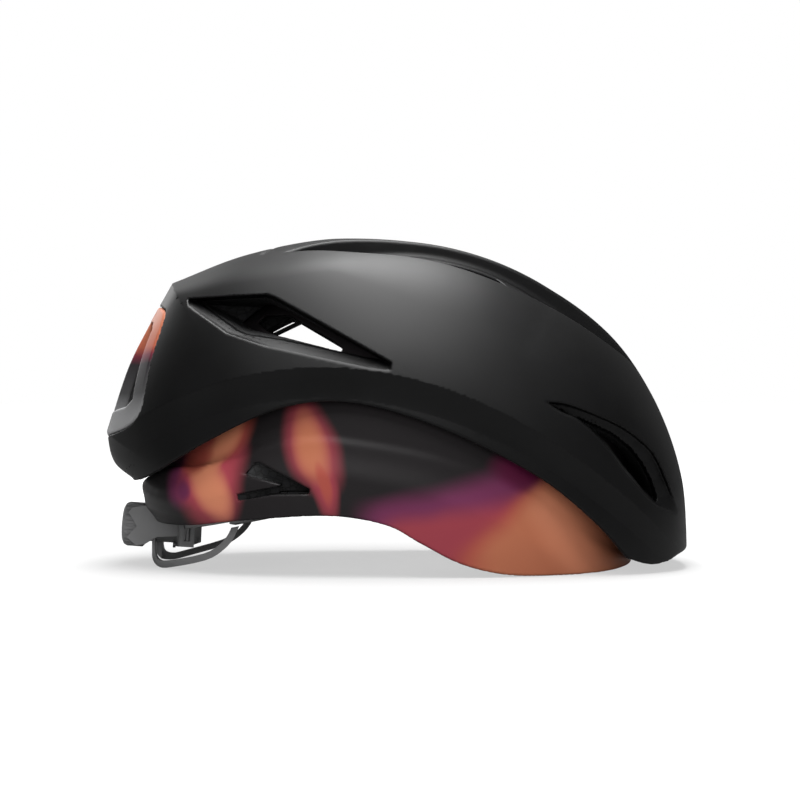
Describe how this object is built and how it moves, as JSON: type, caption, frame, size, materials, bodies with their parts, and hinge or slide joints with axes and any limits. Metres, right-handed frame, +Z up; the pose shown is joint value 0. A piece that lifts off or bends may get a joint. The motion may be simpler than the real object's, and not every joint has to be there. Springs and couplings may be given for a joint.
{
  "type": "road bike helmet",
  "caption": "Road cycling helmet with an outer shell on a slipping inner liner, side and crown vents, a tail frame and a dial-tightened cradle.",
  "frame": {"origin": "centre of the footprint on the surface that the helmet rests on", "axes": "+X towards the brow, +Y to the wearer's left, +Z up, with the helmet resting on its front lobes and nape loops as pictured"},
  "size_m": [0.288, 0.1948, 0.1629],
  "materials": {
    "shell": "satin-matte black polycarbonate skin",
    "foam": "black expanded foam",
    "trim": "satin frame fading from orange to dark grey",
    "liner_skin": "satin skin with a soft colour fade",
    "rubber": "elastic posts",
    "soft_black": "black plastic",
    "plastic": "dark grey nylon",
    "pad": "black pad fabric",
    "hook": "hook dots",
    "steel": "small screws",
    "acetal": "pale acetal"
  },
  "bodies": {
    "liner": {"inner_shell": "liner_skin", "inner_foam": "foam", "slip_posts": "rubber", "hanger_strap": "soft_black", "hanger_anchor": "plastic", "temple_anchor_left": "plastic", "temple_anchor_right": "plastic", "strap_anchors": "soft_black", "brow_pad": "pad", "crown_pad": "pad", "side_pad_left": "pad", "side_pad_right": "pad", "pad_dots": "hook"},
    "outer": {"outer_shell": "shell", "outer_foam": "foam", "exhaust_frame": "trim"},
    "cradle": {"side_arm_left": "plastic", "side_arm_right": "plastic", "housing_base": "plastic", "housing_cover": "plastic", "cover_screws": "steel", "hanger_carriage": "plastic", "wing_left": "plastic", "wing_right": "plastic", "detent_ring": "acetal"},
    "dial": {"dial_wheel": "soft_black", "pinion": "acetal", "dial_screw": "steel"},
    "belt_left_body": {"belt_left": "plastic"},
    "belt_right_body": {"belt_right": "plastic"}
  },
  "joints": [
    {"name": "outer_slip", "type": "hinge", "parent": "liner", "child": "outer", "pos_m": [0, 0, 0.034], "axis": [0, 1, 0], "range_deg": [-3, 3], "stiffness_Nm_per_rad": 30},
    {"name": "cradle_height", "type": "hinge", "parent": "liner", "child": "cradle", "pos_m": [0.03974, 0, 0.04878], "axis": [0, 1, 0], "range_deg": [-3, 2.5]},
    {"name": "dial_turn", "type": "hinge", "parent": "cradle", "child": "dial", "pos_m": [-0.106, 0, 0.0178], "axis": [-0.9976, 0, 0.0698], "range_deg": [-190, 190]},
    {"name": "belt_left_slide", "type": "hinge", "parent": "cradle", "child": "belt_left_body", "pos_m": [-0.03753, 0, 0.03235], "axis": [-0.2079, 0, 0.9781], "range_deg": [-8.2, 8.2]},
    {"name": "belt_right_slide", "type": "hinge", "parent": "cradle", "child": "belt_right_body", "pos_m": [-0.03753, 0, 0.03235], "axis": [-0.2079, 0, 0.9781], "range_deg": [-8.2, 8.2]}
  ],
  "couplings": [
    {"joint": "belt_left_slide", "follows": "dial_turn", "ratio": -0.042857},
    {"joint": "belt_right_slide", "follows": "dial_turn", "ratio": 0.042857}
  ]
}
